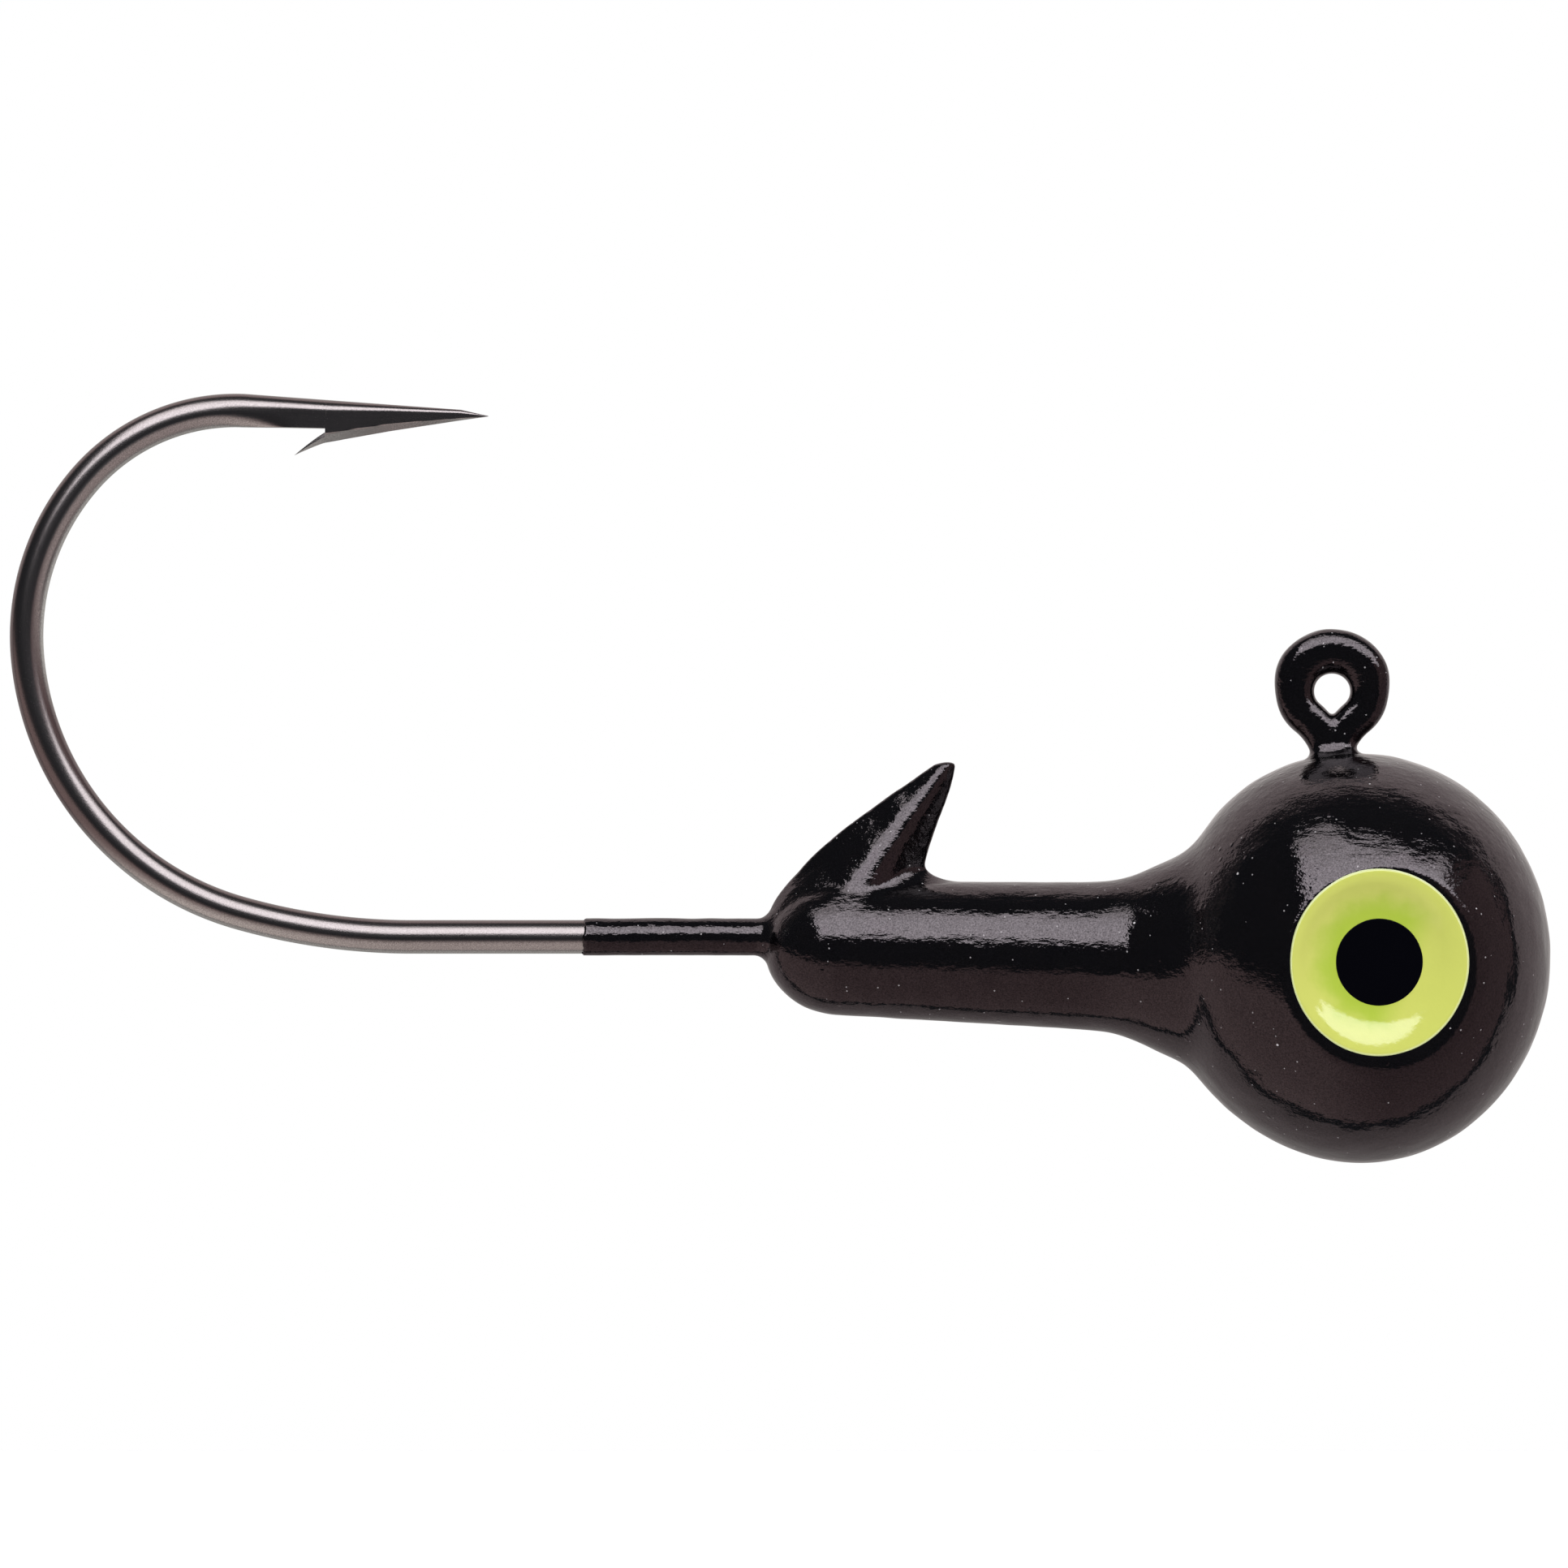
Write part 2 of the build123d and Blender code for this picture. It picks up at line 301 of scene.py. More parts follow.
def field_gradient(field, points):
    """The unit slope of a field and its length at each point."""
    step = 1e-3
    slopes = []
    for axis in range(3):
        offset = np.zeros(3)
        offset[axis] = step
        ahead = field(*(points + offset).T)
        behind = field(*(points - offset).T)
        slopes.append((ahead - behind) / (2 * step))
    gradient = np.stack(slopes, axis=1)
    length = np.maximum(np.linalg.norm(gradient, axis=1), 1e-6)
    return gradient / length[:, None], length


def settle(field, points, rounds, limit):
    """Moves points along the field's slope onto its zero surface."""
    for _ in range(rounds):
        normal, length = field_gradient(field, points)
        value = field(*points.T) / length
        points = points - normal * np.clip(value, -limit, limit)[:, None]
    return points


def surface_net(field, low, high, step):
    """A closed quad mesh around the zero surface of a field: one vertex in each grid cell that
    the surface crosses, and one quad around each grid edge that it crosses."""
    axes = [np.arange(a, b + step, step) for a, b in zip(low, high)]
    values = np.stack([
        field(x, *np.meshgrid(axes[1], axes[2], indexing="ij")) for x in axes[0]
    ])
    inside = values < 0
    count = np.zeros(tuple(n - 1 for n in inside.shape), int)
    for corner in itertools.product((slice(None, -1), slice(1, None)), repeat=3):
        count += inside[corner]
    crossed = (count > 0) & (count < 8)
    index = np.full(crossed.shape, -1)
    index[crossed] = np.arange(crossed.sum())
    cells = np.argwhere(crossed)
    points = np.array([a[0] for a in axes]) + (cells + 0.5) * step
    quads = []
    for axis in range(3):
        ahead = [slice(None)] * 3
        behind = [slice(None)] * 3
        ahead[axis] = slice(1, None)
        behind[axis] = slice(None, -1)
        first, second = inside[tuple(behind)], inside[tuple(ahead)]
        u, v = (axis + 1) % 3, (axis + 2) % 3
        for entering in (False, True):
            edges = np.argwhere((first != second) & (second == entering))
            ring = []
            for du, dv in ((0, 0), (-1, 0), (-1, -1), (0, -1)):
                cell = edges.copy()
                cell[:, u] += du
                cell[:, v] += dv
                ring.append(index[tuple(cell.T)])
            quad = np.stack(ring, axis=1)
            quads.append(quad[:, ::-1] if entering else quad)
    return points, np.concatenate(quads)


def even_out(points, quads, strength):
    """Moves each point towards the middle of its neighbours."""
    total = np.zeros_like(points)
    number = np.zeros(len(points))
    for a in range(4):
        start, end = quads[:, a], quads[:, (a + 1) % 4]
        np.add.at(total, start, points[end])
        np.add.at(number, start, 1)
    return points + (total / np.maximum(number, 1)[:, None] - points) * strength


def split_quads(points, quads):
    """Each quad into four."""
    edges = np.concatenate([np.stack([quads[:, a], quads[:, (a + 1) % 4]], 1) for a in range(4)])
    edges = np.sort(edges, axis=1)
    unique, place = np.unique(edges, axis=0, return_inverse=True)
    middles = points[unique].mean(axis=1)
    centres = points[quads].mean(axis=1)
    place = place.reshape(4, -1).T + len(points)
    centre = np.arange(len(quads)) + len(points) + len(unique)
    fine = [
        np.stack([quads[:, a], place[:, a], centre, place[:, a - 1]], axis=1) for a in range(4)
    ]
    return np.concatenate([points, middles, centres]), np.concatenate(fine)


def skin_of(field, low, high, step, splits):
    """An even quad mesh on the zero surface of a field, around a node's box."""
    points, quads = surface_net(field, low - GRID_MARGIN, high + GRID_MARGIN, step)
    points = settle(field, points, 4, step)
    for _ in range(3):
        points = even_out(points, quads, 0.5)
        points = settle(field, points, 1, step)
    for _ in range(splits):
        points, quads = split_quads(points, quads)
        points = settle(field, points, 2, step)
    return settle(field, points, 3, step), quads


def add_object(name, data):
    """A new object in the scene."""
    item = bpy.data.objects.new(name, data)
    bpy.context.scene.collection.objects.link(item)
    return item


def make_object(name, points, faces, material, node):
    """A smooth-shaded mesh object, in metres, that rides on the body and stands for its node."""
    mesh = bpy.data.meshes.new(name)
    mesh.from_pydata((np.asarray(points) * MM).tolist(), [], [list(map(int, f)) for f in faces])
    mesh.validate()
    mesh.polygons.foreach_set("use_smooth", [True] * len(mesh.polygons))
    mesh.materials.append(material)
    piece = add_object(name, mesh)
    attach(piece, "root")
    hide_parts(node)
    return piece


# ---- the coating and the casting

COAT_STEP = 0.11  # size of the grid's cells
LEAD_STEP = 0.16

SEED = 20
PEEL_WAVES = 48
PEEL_LENGTHS = (0.35, 1.3)  # shortest and longest ripple
PEEL_HEIGHT = 0.0064
PEEL_IN_SOCKET = 0.15  # how much of the ripple is left in an eye socket;
PEEL_SOCKET_SPAN = (-0.1, 0.5)  # it returns between these distances from the dish
PEEL_STUB_FADE = 0.4  # the ripple fades out so far before the stub's end


def peel(points):
    """Small smooth ripples: many weak waves in random directions."""
    draw = np.random.default_rng(SEED)
    height = np.zeros(len(points))
    for _ in range(PEEL_WAVES):
        direction = draw.normal(size=3)
        direction /= np.linalg.norm(direction)
        wavelength = draw.uniform(*PEEL_LENGTHS)
        phase = draw.uniform(0, 2 * math.pi)
        wave = np.sin(points @ direction * (2 * math.pi / wavelength) + phase)
        height += wave * wavelength / PEEL_LENGTHS[1]
    return height * PEEL_HEIGHT / math.sqrt(PEEL_WAVES)


def make_coat(material):
    """The coating as one closed skin, with its ripples."""
    points, quads = skin_of(coat_field, COAT_LOW, COAT_HIGH, COAT_STEP, 1)
    normal, _ = field_gradient(coat_field, points)
    out_of_socket = smooth_step(*PEEL_SOCKET_SPAN, socket_field(*points.T))
    past_stub_end = smooth_step(STUB_END_X, STUB_END_X + PEEL_STUB_FADE, points[:, 0])
    strength = PEEL_IN_SOCKET + (1 - PEEL_IN_SOCKET) * out_of_socket
    height = peel(points) * strength * past_stub_end
    points = points + normal * height[:, None]
    make_object("paint_skin", points, quads, material, "paint_coat")


def make_lead(material):
    """The casting under the coating."""
    points, quads = skin_of(lead_field, LEAD_LOW, LEAD_HIGH, LEAD_STEP, 0)
    make_object("lead_casting", points, quads, material, "lead_body")


# ---- the hook

HEAD_BEND_R = 1.5  # the hidden right-angle bend in the ball
BEND_START_X = -23.114
BEND_ARCS = ((15.83, 15.9), (7.36, 68.7), (6.03, 45.9), (5.0, 52.0))  # radius mm, turn degrees
LOOP_CUT_TURN = 6  # how far the wire's cut end curls towards the neck
RING_POINTS = 48  # points down each side of a cross-section
WIRE_STEP = 0.11
SPEAR_STEPS = 70
SHARP_ANGLE = 24  # edges sharper than this aren't shaded smooth, degrees

SPEAR_LEAD = 1.05  # straight wire before the spear's root
SPEAR_LENGTH = 5.09
NOTCH = 1.01  # where the barb's slice ends, from the spear's root
NOTCH_GAP = 0.002  # between the two cross-sections that make its step
NOTCH_SPACING = 0.05  # of the cross-sections before it
GROUND_SPAN = (-2.3, 0.35)  # where the round wire turns into ground sides
ROOT_HALF_HEIGHT = 0.39  # of the wire, at the spear's root
NOTCH_BOTTOM = -0.365  # underside of the wire where the slice ends
NOTCH_EDGE = 0.012  # rounding of the slice's edges
# Outline of the spear at stations from its root: top edge, upper and lower edge of the ground
# side, bottom edge, and half thickness at the side's two edges
SPEAR_AT = (NOTCH, 2.67, 4.39, SPEAR_LENGTH)
SPEAR_TOP = (0.36, 0.31, 0.26, 0.135)
SPEAR_SIDE_TOP = (0.075, 0.14, 0.165, 0.132)
SPEAR_SIDE_BOTTOM = (-0.495, -0.168, 0.045, 0.125)
SPEAR_BOTTOM = (-0.72, -0.35, -0.01, 0.12)
SPEAR_UPPER_HALF = (0.365, 0.235, 0.095, 0.008)
SPEAR_LOWER_HALF = (0.350, 0.226, 0.091, 0.007)

# Places along the spear and up from it
BARB_TIP = (0.262, -1.065)
BARB_TOP_HEEL = (1.30, -0.30)  # start of the barb's cut face, inside the spear
BARB_BOTTOM_HEEL = 1.45  # start of its lower edge
BARB_TOP_CURVE = 1.25  # how its outlines bend and its sides close; 1 is straight
BARB_BOTTOM_CURVE = 1.12
BARB_TAPER = 0.75
BARB_PROUD = 0.002  # its lower edge, below the spear's
BARB_HALF = (0.30, 0.004)  # half thickness at the heel and at the tip
BARB_TOP_WIDTH = 0.86  # of the cut face, over the widest line
BARB_WIDEST = 0.40  # how far down the widest line is
BARB_STATIONS = 28


def walk(start, heading, steps, spacing):
    """Evenly spaced points and headings along tangent lines and arcs in the plane Y = 0. A step
    is a length, or a radius and a turn in degrees."""
    x, z = start
    places, headings = [(x, z)], [heading]
    for step in steps:
        if isinstance(step, tuple):
            radius, turn = step[0], math.radians(step[1])
            length = radius * abs(turn)
        else:
            turn, length = 0.0, step
        number = max(2, round(length / spacing))
        for _ in range(number):
            chord = length / number
            if turn:
                chord = 2 * radius * math.sin(abs(turn) / number / 2)
            heading += turn / number / 2
            x += chord * math.cos(heading)
            z += chord * math.sin(heading)
            heading += turn / number / 2
            places.append((x, z))
            headings.append(heading)
    return places, headings


def wire_profile(along):
    """Heights and half widths down one side of the cross-section, from its top to its bottom.
    The place along the wire is counted from the spear's root, and is negative before it."""
    top = np.interp(along, (-SPEAR_LEAD, 0.0) + SPEAR_AT, (WIRE_R, ROOT_HALF_HEIGHT) + SPEAR_TOP)
    if along < NOTCH:
        at = (-SPEAR_LEAD, 0.0, NOTCH)
        bottom = np.interp(along, at, (-WIRE_R, -ROOT_HALF_HEIGHT, NOTCH_BOTTOM))
    else:
        bottom = np.interp(along, SPEAR_AT, SPEAR_BOTTOM)
    angles = np.linspace(0, math.pi, RING_POINTS + 1)
    height = (top + bottom) / 2 + (top - bottom) / 2 * np.cos(angles)
    round_half = WIRE_R * np.sin(angles)
    if along < GROUND_SPAN[0]:
        return height, round_half
    side_top, side_bottom, upper_half, lower_half = (
        np.interp(along, SPEAR_AT, outline)
        for outline in (SPEAR_SIDE_TOP, SPEAR_SIDE_BOTTOM, SPEAR_UPPER_HALF, SPEAR_LOWER_HALF)
    )
    crown_share = np.clip((height - side_top) / max(top - side_top, 1e-4), 0, 1)
    crown = upper_half * np.sqrt(np.maximum(1 - crown_share**2, 0))
    if along < NOTCH:
        floor = np.clip((height - bottom) / NOTCH_EDGE, 0, 1)
        slope = (upper_half - lower_half) / (side_top - side_bottom)
        side = (upper_half + slope * (height - side_top)) * floor
    else:
        side = np.interp(height, (bottom, side_bottom, side_top), (0, lower_half, upper_half))
    ground = np.where(height > side_top, crown, side)
    share = float(smooth_step(*GROUND_SPAN, np.array(along)))
    return height, round_half * (1 - share) + ground * share


def hook_path():
    """Places and headings along the wire's middle line, and the index of the spear's root."""
    drop = math.sqrt(LOOP_R**2 + 2 * LOOP_R * LOOP_NECK_R)
    loop_turn = 90 + math.degrees(math.atan2(drop, LOOP_NECK_R))
    neck_turn = loop_turn - 90
    neck_length = LOOP_SHIFT[1] - drop - SHANK_Z - HEAD_BEND_R
    # The start of the wire is found by walking the mirrored loop backwards from its top.
    front = [(LOOP_R, -loop_turn), (LOOP_NECK_R, LOOP_CUT_TURN)]
    top = (LOOP_SHIFT[0], LOOP_SHIFT[1] + LOOP_R)
    end_places, end_headings = walk(top, 0, front, WIRE_STEP)
    steps = [
        (LOOP_NECK_R, -LOOP_CUT_TURN),
        (LOOP_R, 2 * loop_turn),
        (LOOP_NECK_R, -neck_turn),
        neck_length,
        (HEAD_BEND_R, -90),
        LOOP_SHIFT[0] - HEAD_BEND_R - BEND_START_X,
    ]
    steps += [(radius, -turn) for radius, turn in BEND_ARCS]
    steps.append(SPEAR_LEAD)
    places, headings = walk(end_places[-1], end_headings[-1] + math.pi, steps, WIRE_STEP)
    root = len(places) - 1
    (root_x, root_z), heading = places[root], headings[root]
    stations = list(np.arange(NOTCH_SPACING, NOTCH, NOTCH_SPACING))
    stations += [NOTCH - NOTCH_GAP, NOTCH + NOTCH_GAP]
    stations += list(np.linspace(NOTCH + NOTCH_SPACING, SPEAR_LENGTH, SPEAR_STEPS))
    for along in stations:
        places.append((root_x + along * math.cos(heading), root_z + along * math.sin(heading)))
        headings.append(heading)
    return places, headings, root


def tube_faces(rings, ring):
    """Faces between the rings of points along a tube, and its two flat ends."""
    faces = [tuple(range(ring - 1, -1, -1)), tuple(range((rings - 1) * ring, rings * ring))]
    for i in range(rings - 1):
        for j in range(ring):
            a, b = i * ring + j, i * ring + (j + 1) % ring
            faces.append((a, b, b + ring, a + ring))
    return faces


def sweep_wire(places, headings, root):
    """The wire's surface: points, faces, and the millimetres along and around it."""
    lengths = [0.0]
    for before, after in zip(places, places[1:]):
        lengths.append(lengths[-1] + math.dist(before, after))
    rings, around = [], []
    for place, heading, length in zip(places, headings, lengths):
        height, half = wire_profile(length - lengths[root])
        ring_height = np.concatenate([height, height[-2:0:-1]])
        ring_half = np.concatenate([half, -half[-2:0:-1]])
        # Up, on the cross-section, is to the left of the wire's heading.
        x = place[0] - ring_height * math.sin(heading)
        z = place[1] + ring_height * math.cos(heading)
        rings.append(np.stack([x, -ring_half, z], axis=1))
        around.append(np.linspace(0, 2 * math.pi * WIRE_R, len(x), endpoint=False))
    ring = len(rings[0])
    uvs = np.stack([np.repeat(lengths, ring), np.concatenate(around)], axis=1)
    return np.concatenate(rings), tube_faces(len(rings), ring), uvs


def barb_section(share):
    """The barb's cross-section at a share of its length, as places along the spear, up and
    sideways: from the middle of its cut face, round its widest line and its lower edge."""
    top_along = BARB_TOP_HEEL[0] + (BARB_TIP[0] - BARB_TOP_HEEL[0]) * share
    top_up = BARB_TOP_HEEL[1] + (BARB_TIP[1] - BARB_TOP_HEEL[1]) * share**BARB_TOP_CURVE
    bottom_along = BARB_BOTTOM_HEEL + (BARB_TIP[0] - BARB_BOTTOM_HEEL) * share
    past_notch = np.clip((NOTCH - bottom_along) / (NOTCH - BARB_TIP[0]), 0, 1)
    bottom_up = np.interp(bottom_along, SPEAR_AT, SPEAR_BOTTOM) - BARB_PROUD
    bottom_up += (BARB_TIP[1] - SPEAR_BOTTOM[0]) * past_notch**BARB_BOTTOM_CURVE
    half = BARB_HALF[0] * (1 - share) ** BARB_TAPER + BARB_HALF[1]
    widest_along = top_along + (bottom_along - top_along) * BARB_WIDEST
    widest_up = top_up + (bottom_up - top_up) * BARB_WIDEST
    return [
        (top_along, top_up, 0.0),
        (top_along, top_up, half * BARB_TOP_WIDTH),
        (widest_along, widest_up, half),
        (bottom_along, bottom_up, 0.0),
        (widest_along, widest_up, -half),
        (top_along, top_up, -half * BARB_TOP_WIDTH),
    ]


def barb_mesh(root, heading):
    """The barb: a sliver cut from the underside and raised. Its cut face is on top and its two
    lower sides meet in an edge that runs on into the spear's bottom edge."""
    points, uvs = [], []
    for i in range(BARB_STATIONS):
        section = barb_section(i / (BARB_STATIONS - 1))
        for along, up, sideways in section:
            x = root[0] + along * math.cos(heading) - up * math.sin(heading)
            z = root[1] + along * math.sin(heading) + up * math.cos(heading)
            points.append((x, -sideways, z))
            uvs.append((along, up))
    return np.array(points), tube_faces(BARB_STATIONS, len(section)), np.array(uvs)


def make_hook(material):
    """One swept wire from its cut end at the line loop to the tip, and the raised barb."""
    places, headings, root = hook_path()
    points, faces, uvs = sweep_wire(places, headings, root)
    barb_points, barb_faces, barb_uvs = barb_mesh(places[root], headings[root])
    # The barb's rings turn the other way round.
    faces += [tuple(len(points) + corner for corner in face[::-1]) for face in barb_faces]
    points = np.concatenate([points, barb_points])
    piece = make_object("hook_wire", points, faces, material, "hook")
    piece.data.set_sharp_from_angle(angle=math.radians(SHARP_ANGLE))
    add_uv(piece, np.concatenate([uvs, barb_uvs]))


def add_uv(piece, uvs):
    """A UV map with millimetres along and around the wire."""
    layer = piece.data.uv_layers.new(name="wire")
    corners = np.zeros(len(piece.data.loops), int)
    piece.data.loops.foreach_get("vertex_index", corners)
    layer.data.foreach_set("uv", uvs[corners].astype(np.float32).ravel())


# ---- the printed eyes

EYE_RINGS = 44
EYE_SPOKES = 224
PRINT_SHIFT = -0.06  # of the eyes along X, from the CAD
PUPIL_SPREAD = 0.02  # how far the pupil's ink ran past the CAD's outline
# Bottom and top of each ink above the coating, and the width over which its rim rounds off
BASE_LAYER = (-0.030, 0.012, 0.05)
IRIS_LAYER = (0.002, 0.026, 0.05)
PUPIL_LAYER = (0.010, 0.040, 0.04)
# An outline isn't quite even: height over radius, waves around and phase
PRINT_WOBBLE = ((0.0016, 3, 0.4), (0.0011, 7, 2.0))
DISH_SEARCH = (2.4, 6.0)  # the dish's surface is between these distances from Y = 0
DISH_HALVINGS = 26


def coat_depth(x, z):
    """How far out from the plane Y = 0 the coating lies at each x and z in a socket."""
    inner = np.full(x.shape, DISH_SEARCH[0])
    outer = np.full(x.shape, DISH_SEARCH[1])
    for _ in range(DISH_HALVINGS):
        middle = (inner + outer) / 2
        inside = casting_field(x, middle, z) < 0
        inner = np.where(inside, middle, inner)
        outer = np.where(inside, outer, middle)
    return (inner + outer) / 2


def make_print(name, side, node, low, high, layer, material):
    """A printed oval that lies in the socket on one side, between two heights above it."""
    bottom, top, edge = layer
    middle_x, middle_z = (low[0] + high[0]) / 2 + PRINT_SHIFT, (low[2] + high[2]) / 2
    half_x, half_z = (high[0] - low[0]) / 2, (high[2] - low[2]) / 2
    share = np.linspace(0, 1, EYE_RINGS + 1)[1:] ** 0.8
    angle = np.arange(EYE_SPOKES) * (2 * math.pi / EYE_SPOKES)
    share, angle = np.meshgrid(share, angle, indexing="ij")
    wobble = 1 + sum(size * np.sin(waves * angle + phase) for size, waves, phase in PRINT_WOBBLE)
    x = middle_x + half_x * share * wobble * np.cos(angle)
    z = middle_z + half_z * share * wobble * np.sin(angle)
    depth = coat_depth(x, z)
    centre_depth = coat_depth(np.array([middle_x]), np.array([middle_z]))[0]
    rim = np.clip((1 - share) * half_x / edge, 0, 1)
    rise = bottom + (top - bottom) * np.sqrt(1 - (1 - rim) ** 2)
    front = np.stack([x, side * (depth + rise), z], axis=-1).reshape(-1, 3)
    back = np.stack([x, side * (depth + bottom), z], axis=-1).reshape(-1, 3)
    centres = np.array([
        (middle_x, side * (centre_depth + top), middle_z),
        (middle_x, side * (centre_depth + bottom), middle_z),
    ])
    points = np.concatenate([front, back, centres])
    offset = len(front)
    front_centre, back_centre = 2 * offset, 2 * offset + 1
    last = offset - EYE_SPOKES
    faces = []
    for j in range(EYE_SPOKES):
        k = (j + 1) % EYE_SPOKES
        faces.append((front_centre, j, k))
        faces.append((back_centre, offset + k, offset + j))
        for i in range(EYE_RINGS - 1):
            a, b = i * EYE_SPOKES + j, i * EYE_SPOKES + k
            c, d = b + EYE_SPOKES, a + EYE_SPOKES
            faces.append((a, d, c, b))
            faces.append((offset + b, offset + c, offset + d, offset + a))
        a, b = last + j, last + k
        faces.append((a, offset + a, offset + b, b))
    if side > 0:
        faces = [face[::-1] for face in faces]
    make_object(name, points, faces, material, node)


def make_eyes(base_material, iris_material, pupil_material):
    """Pale base, chartreuse iris and black pupil in both sockets."""
    pupil_low, pupil_high = PUPIL_LOW - PUPIL_SPREAD, PUPIL_HIGH + PUPIL_SPREAD
    prints = (
        ("eye_white", "eye_base", BASE_LOW, BASE_HIGH, BASE_LAYER, base_material),
        ("iris_print", "iris", IRIS_LOW, IRIS_HIGH, IRIS_LAYER, iris_material),
        ("pupil_print", "pupil", pupil_low, pupil_high, PUPIL_LAYER, pupil_material),
    )
    for side, end in ((1, "left"), (-1, "right")):
        for name, slot, low, high, layer, material in prints:
            make_print(f"{name}_{end}", side, f"{slot}_{end}", low, high, layer, material)


# ---- materials

COAT_BLACK = (0.0010, 0.0010, 0.0014, 1)
COAT_BROWN = (0.0022, 0.0018, 0.0019, 1)
COAT_DUST = (0.42, 0.40, 0.39, 1)
COAT_SHINE = (1.0, 0.87, 0.89, 1)  # tint of its reflections
LEAD_DARK = (0.16, 0.16, 0.18, 1)
LEAD_PALE = (0.34, 0.34, 0.36, 1)
WIRE_DARK = (0.205, 0.180, 0.170, 1)
WIRE_BROWN = (0.245, 0.218, 0.210, 1)
WIRE_SPECK = (0.12, 0.10, 0.10, 1)
# Paler metal colour painted where the wire faces down and into the bend: a painted reflection of
# the pale table below
WIRE_PAINTED_SHEEN = (0.74, 0.82, 0.76, 1)
PAINTED_SHEEN_SIDE = (0.45, 0.0, -0.89)  # the direction that the wire's painted reflection of the pale table faces
# Colour of a print near the middle, farther out and on its painted lit side, and at its rim
BASE_INK = ((0.50, 0.53, 0.30, 1), (0.46, 0.50, 0.25, 1), (0.42, 0.46, 0.2, 1))
IRIS_INK = ((0.325, 0.42, 0.042, 1), (0.46, 0.485, 0.098, 1), (0.48, 0.51, 0.17, 1))
PUPIL_BLACK = (0.0012, 0.0012, 0.0022, 1)
PUPIL_DUST = (0.05, 0.05, 0.05, 1)
# Heights of the fine relief, mm
STREAK_HEIGHT = 0.018
FINE_HEIGHT = 0.005
GRAIN_HEIGHT = 0.012
LEAD_GRAIN_HEIGHT = 0.01
WIRE_LINE_HEIGHT = 0.0012
WIRE_GRAIN_HEIGHT = 0.0018
INK_HEIGHT = 0.004
PUPIL_HEIGHT = 0.002
# The coating is rough above the second of these heights, and smooth below the first
ROUGH_SPAN = (-9.2, -5.8)
# Grains crowd at this place, where the ball meets the collar, and thin out so far from it
CROWD_MIDDLE = (CHEEK[0], 0.0, CHEEK[1] + 2.6)
CROWD_SPAN = (4.2, 2.4)


class Nodes:
    """A small helper that adds and links shader nodes."""

    def __init__(self, tree):
        self.tree = tree

    def add(self, kind, inputs=None, **settings):
        node = self.tree.nodes.new(kind)
        for key, value in settings.items():
            setattr(node, key, value)
        for key, value in (inputs or {}).items():
            self.set(node.inputs[key], value)
        return node

    def set(self, socket, value):
        if isinstance(value, bpy.types.NodeSocket):
            self.tree.links.new(value, socket)
        elif value is not None:
            socket.default_value = value

    def math(self, operation, first, second=None, third=None, clamp=False):
        values = {0: first, 1: second, 2: third}
        node = self.add("ShaderNodeMath", values, operation=operation, use_clamp=clamp)
        return node.outputs[0]

    def step(self, value, low, high):
        """A smooth rise from 0 at low to 1 at high."""
        inputs = {"Value": value, "From Min": low, "From Max": high}
        return self.add("ShaderNodeMapRange", inputs, interpolation_type="SMOOTHSTEP").outputs[0]

    def mix(self, share, first, second):
        """A colour between two colours."""
        colours = {0: share, 6: first, 7: second}
        return self.add("ShaderNodeMix", colours, data_type="RGBA").outputs[2]

    def noise(self, vector, scale, detail=2.0, roughness=0.5):
        inputs = {"Vector": vector, "Scale": scale, "Detail": detail, "Roughness": roughness}
        return self.add("ShaderNodeTexNoise", inputs).outputs["Fac"]

    def bump(self, height, distance, strength=1.0, normal=None):
        inputs = {"Height": height, "Distance": distance, "Strength": strength, "Normal": normal}
        return self.add("ShaderNodeBump", inputs).outputs["Normal"]

    def look(self, shader, base, rough, normal):
        """The colour, roughness and normal of a Principled node."""
        for key, value in (("Base Color", base), ("Roughness", rough), ("Normal", normal)):
            self.set(shader.inputs[key], value)


def new_material(name):
    """A node material: its helper, its Principled node, and its coordinates in millimetres."""
    material = bpy.data.materials.new(name)
    material.use_nodes = True
    tree = material.node_tree
    nodes = Nodes(tree)
    shader = tree.nodes["Principled BSDF"]
    place = nodes.add("ShaderNodeTexCoord").outputs["Object"]
    scaled = nodes.add("ShaderNodeVectorMath", {0: place, "Scale": 1 / MM}, operation="SCALE")
    return material, nodes, shader, scaled.outputs[0]


def scattered(nodes, place, cell, share, channel):
    """Distances to random points, about one in each cell of a size, and which of them count."""
    cells = nodes.add("ShaderNodeTexVoronoi", {"Vector": place, "Scale": 1 / cell})
    chance = nodes.add("ShaderNodeSeparateColor", {"Color": cells.outputs["Color"]})
    return cells.outputs["Distance"], nodes.math("LESS_THAN", chance.outputs[channel], share)


def specks(nodes, place, cell, size, share):
    """A mask of small scattered dots."""
    distance, counts = scattered(nodes, place, cell, share, 0)
    return nodes.math("MULTIPLY", nodes.math("LESS_THAN", distance, size / cell), counts)


def grains(nodes, place, cell, size, share):
    """A height of scattered round grains."""
    distance, counts = scattered(nodes, place, cell, share, 1)
    return nodes.math("MULTIPLY", nodes.step(distance, size / cell, 0.0), counts)


